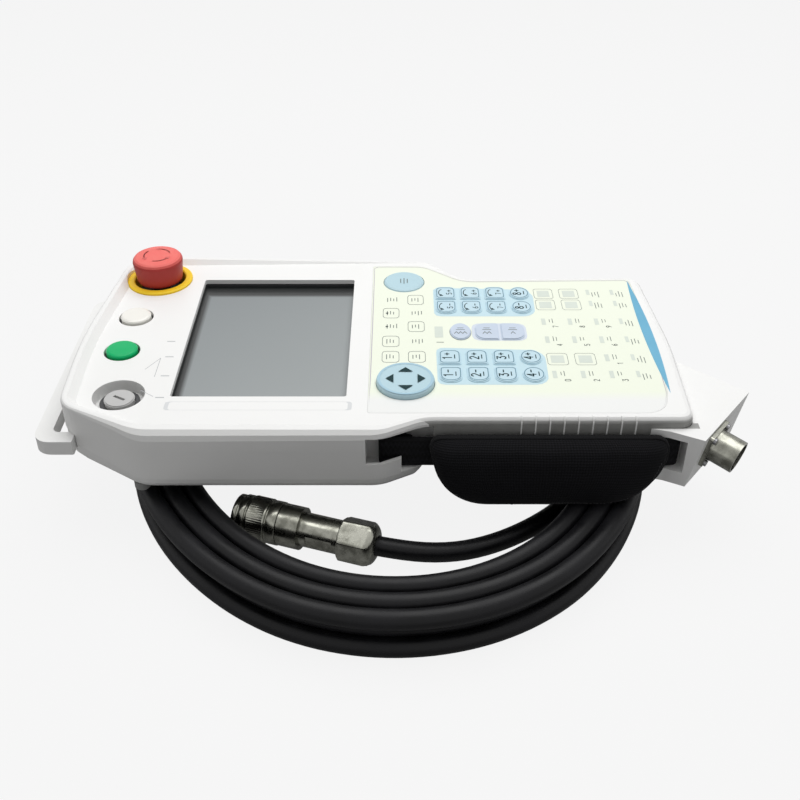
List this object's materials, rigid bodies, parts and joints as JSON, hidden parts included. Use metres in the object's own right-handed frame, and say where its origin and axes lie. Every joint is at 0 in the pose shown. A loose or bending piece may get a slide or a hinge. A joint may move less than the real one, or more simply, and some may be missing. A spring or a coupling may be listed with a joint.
{
  "type": "teach pendant",
  "caption": "Hand-held robot teach pendant with screen, keypad, stop button and hand strap, lying on a coiled cable that ends in round plugs.",
  "frame": {"origin": "middle of the pendant's own box, without its cable: strap pad to far wall, hanging loop to connector, enabling lever to top of the stop button", "axes": "+X from the head to the handle and its connector, +Y away from the user's side of the head, +Z out of the face; the pendant lies face up on its coiled cable"},
  "size_m": [0.413, 0.382, 0.0991],
  "materials": {
    "housing": "fine moulded satin, off-white",
    "film": "printed polyester film, satin",
    "key_blue": "embossed film keys, satin",
    "gasket": "matt black",
    "screen": "hard-coated touch film, dull grey when off",
    "display": "metal-backed display module",
    "board": "solder mask",
    "screw": "zinc plated",
    "foot": "grey",
    "yellow": "satin",
    "red": "satin",
    "green": "gloss",
    "cap_white": "satin",
    "switch_black": "black switch housings",
    "rotor": "light grey",
    "plunger": "dark grey",
    "nickel": "warm nickel plate",
    "insulator": "black insert with plated contacts",
    "webbing": "black woven webbing",
    "pad": "black padded cover with a woven face",
    "cable": "black jacket, satin"
  },
  "bodies": {
    "root": {"front_cover": "housing", "rear_cover": "housing", "hanging_loop": "housing", "screen_gasket": "gasket", "touch_panel": "screen", "lcd_module": "display", "main_board": "board", "keypad_overlay": "film", "keypad_board": "board", "housing_screws": "screw", "rubber_feet": "foot", "estop_collar": "yellow", "estop_body": "switch_black", "pushbutton_switches": "switch_black", "mode_switch_body": "switch_black", "mode_switch_bezel": "switch_black", "enabling_switch_body": "switch_black", "receptacle_shell": "nickel", "receptacle_insert": "insulator", "receptacle_screws": "screw", "strap_webbing": "webbing", "strap_pad": "pad", "cable_coil": "cable", "cable_lead": "cable", "cable_tail": "cable", "plug_shell": "nickel", "plug_insert": "insulator", "plug_nut": "nickel", "far_plug_shell": "nickel", "far_plug_insert": "insulator", "far_plug_nut": "nickel"},
    "stop_plunger": {"estop_plunger": "plunger"},
    "stop_head": {"estop_head": "red"},
    "hold_cap": {"hold_button": "cap_white"},
    "start_cap": {"start_button": "green"},
    "mode_knob": {"mode_switch_rotor": "rotor"},
    "enabling_lever": {"enabling_switch_lever": "plunger"},
    "plug_coupling": {"plug_ring": "nickel"},
    "far_plug_coupling": {"far_plug_ring": "nickel"},
    "select_key_cap": {"select_key": "key_blue"},
    "cursor_key_cap": {"cursor_key": "key_blue"},
    "high_speed_key_cap": {"high_speed_key": "key_blue"},
    "fast_key_cap": {"fast_key": "key_blue"},
    "slow_key_cap": {"slow_key": "key_blue"},
    "axis1_plus_key_cap": {"axis1_plus_key": "key_blue"},
    "axis1_minus_key_cap": {"axis1_minus_key": "key_blue"},
    "axis2_plus_key_cap": {"axis2_plus_key": "key_blue"},
    "axis2_minus_key_cap": {"axis2_minus_key": "key_blue"},
    "axis3_plus_key_cap": {"axis3_plus_key": "key_blue"},
    "axis3_minus_key_cap": {"axis3_minus_key": "key_blue"},
    "axis4_plus_key_cap": {"axis4_plus_key": "key_blue"},
    "axis4_minus_key_cap": {"axis4_minus_key": "key_blue"},
    "axis5_plus_key_cap": {"axis5_plus_key": "key_blue"},
    "axis5_minus_key_cap": {"axis5_minus_key": "key_blue"},
    "axis6_plus_key_cap": {"axis6_plus_key": "key_blue"},
    "axis6_minus_key_cap": {"axis6_minus_key": "key_blue"},
    "axis7_plus_key_cap": {"axis7_plus_key": "key_blue"},
    "axis7_minus_key_cap": {"axis7_minus_key": "key_blue"},
    "axis8_plus_key_cap": {"axis8_plus_key": "key_blue"},
    "axis8_minus_key_cap": {"axis8_minus_key": "key_blue"}
  },
  "joints": [
    {"name": "stop_press", "type": "slide", "parent": "root", "child": "stop_plunger", "axis": [0, 0, 1], "range_m": [-0.004, 0]},
    {"name": "stop_release_turn", "type": "hinge", "parent": "stop_plunger", "child": "stop_head", "pos_m": [-0.1605, 0.0742, 0.016], "axis": [0, 0, 1], "range_deg": [-45, 0], "stiffness_Nm_per_rad": 0.06, "springref_deg": 2.86},
    {"name": "hold_press", "type": "slide", "parent": "root", "child": "hold_cap", "axis": [0, 0, 1], "range_m": [-0.0025, 0], "stiffness_N_per_m": 900, "springref_m": 0.0005},
    {"name": "start_press", "type": "slide", "parent": "root", "child": "start_cap", "axis": [0, 0, 1], "range_m": [-0.0025, 0], "stiffness_N_per_m": 900, "springref_m": 0.0005},
    {"name": "mode_turn", "type": "hinge", "parent": "root", "child": "mode_knob", "pos_m": [-0.1595, -0.0613, 0.016], "axis": [0, 0, 1], "range_deg": [-45, 45]},
    {"name": "enabling_squeeze", "type": "hinge", "parent": "root", "child": "enabling_lever", "pos_m": [0.0425, -0.0338, -0.022], "axis": [0, 1, 0], "range_deg": [-5, 0], "stiffness_Nm_per_rad": 5, "springref_deg": 1.72},
    {"name": "coupling_turn", "type": "hinge", "parent": "root", "child": "plug_coupling", "pos_m": [-0.09319, -0.08824, -0.05062], "axis": [-0.9487, 0.3162, 0], "continuous": true},
    {"name": "far_coupling_turn", "type": "hinge", "parent": "root", "child": "far_plug_coupling", "pos_m": [0.0055, 0.0232, -0.05062], "axis": [1, 0, 0], "continuous": true},
    {"name": "select_press", "type": "slide", "parent": "root", "child": "select_key_cap", "axis": [0, 0, 1], "range_m": [-0.0006, 0], "stiffness_N_per_m": 2500, "springref_m": 0.0003},
    {"name": "cursor_press", "type": "slide", "parent": "root", "child": "cursor_key_cap", "axis": [0, 0, 1], "range_m": [-0.0006, 0], "stiffness_N_per_m": 2500, "springref_m": 0.0003},
    {"name": "high_speed_press", "type": "slide", "parent": "root", "child": "high_speed_key_cap", "axis": [0, 0, 1], "range_m": [-0.0006, 0], "stiffness_N_per_m": 2500, "springref_m": 0.0003},
    {"name": "fast_press", "type": "slide", "parent": "root", "child": "fast_key_cap", "axis": [0, 0, 1], "range_m": [-0.0006, 0], "stiffness_N_per_m": 2500, "springref_m": 0.0003},
    {"name": "slow_press", "type": "slide", "parent": "root", "child": "slow_key_cap", "axis": [0, 0, 1], "range_m": [-0.0006, 0], "stiffness_N_per_m": 2500, "springref_m": 0.0003},
    {"name": "axis1_plus_press", "type": "slide", "parent": "root", "child": "axis1_plus_key_cap", "axis": [0, 0, 1], "range_m": [-0.0006, 0], "stiffness_N_per_m": 2500, "springref_m": 0.0003},
    {"name": "axis1_minus_press", "type": "slide", "parent": "root", "child": "axis1_minus_key_cap", "axis": [0, 0, 1], "range_m": [-0.0006, 0], "stiffness_N_per_m": 2500, "springref_m": 0.0003},
    {"name": "axis2_plus_press", "type": "slide", "parent": "root", "child": "axis2_plus_key_cap", "axis": [0, 0, 1], "range_m": [-0.0006, 0], "stiffness_N_per_m": 2500, "springref_m": 0.0003},
    {"name": "axis2_minus_press", "type": "slide", "parent": "root", "child": "axis2_minus_key_cap", "axis": [0, 0, 1], "range_m": [-0.0006, 0], "stiffness_N_per_m": 2500, "springref_m": 0.0003},
    {"name": "axis3_plus_press", "type": "slide", "parent": "root", "child": "axis3_plus_key_cap", "axis": [0, 0, 1], "range_m": [-0.0006, 0], "stiffness_N_per_m": 2500, "springref_m": 0.0003},
    {"name": "axis3_minus_press", "type": "slide", "parent": "root", "child": "axis3_minus_key_cap", "axis": [0, 0, 1], "range_m": [-0.0006, 0], "stiffness_N_per_m": 2500, "springref_m": 0.0003},
    {"name": "axis4_plus_press", "type": "slide", "parent": "root", "child": "axis4_plus_key_cap", "axis": [0, 0, 1], "range_m": [-0.0006, 0], "stiffness_N_per_m": 2500, "springref_m": 0.0003},
    {"name": "axis4_minus_press", "type": "slide", "parent": "root", "child": "axis4_minus_key_cap", "axis": [0, 0, 1], "range_m": [-0.0006, 0], "stiffness_N_per_m": 2500, "springref_m": 0.0003},
    {"name": "axis5_plus_press", "type": "slide", "parent": "root", "child": "axis5_plus_key_cap", "axis": [0, 0, 1], "range_m": [-0.0006, 0], "stiffness_N_per_m": 2500, "springref_m": 0.0003},
    {"name": "axis5_minus_press", "type": "slide", "parent": "root", "child": "axis5_minus_key_cap", "axis": [0, 0, 1], "range_m": [-0.0006, 0], "stiffness_N_per_m": 2500, "springref_m": 0.0003},
    {"name": "axis6_plus_press", "type": "slide", "parent": "root", "child": "axis6_plus_key_cap", "axis": [0, 0, 1], "range_m": [-0.0006, 0], "stiffness_N_per_m": 2500, "springref_m": 0.0003},
    {"name": "axis6_minus_press", "type": "slide", "parent": "root", "child": "axis6_minus_key_cap", "axis": [0, 0, 1], "range_m": [-0.0006, 0], "stiffness_N_per_m": 2500, "springref_m": 0.0003},
    {"name": "axis7_plus_press", "type": "slide", "parent": "root", "child": "axis7_plus_key_cap", "axis": [0, 0, 1], "range_m": [-0.0006, 0], "stiffness_N_per_m": 2500, "springref_m": 0.0003},
    {"name": "axis7_minus_press", "type": "slide", "parent": "root", "child": "axis7_minus_key_cap", "axis": [0, 0, 1], "range_m": [-0.0006, 0], "stiffness_N_per_m": 2500, "springref_m": 0.0003},
    {"name": "axis8_plus_press", "type": "slide", "parent": "root", "child": "axis8_plus_key_cap", "axis": [0, 0, 1], "range_m": [-0.0006, 0], "stiffness_N_per_m": 2500, "springref_m": 0.0003},
    {"name": "axis8_minus_press", "type": "slide", "parent": "root", "child": "axis8_minus_key_cap", "axis": [0, 0, 1], "range_m": [-0.0006, 0], "stiffness_N_per_m": 2500, "springref_m": 0.0003}
  ]
}
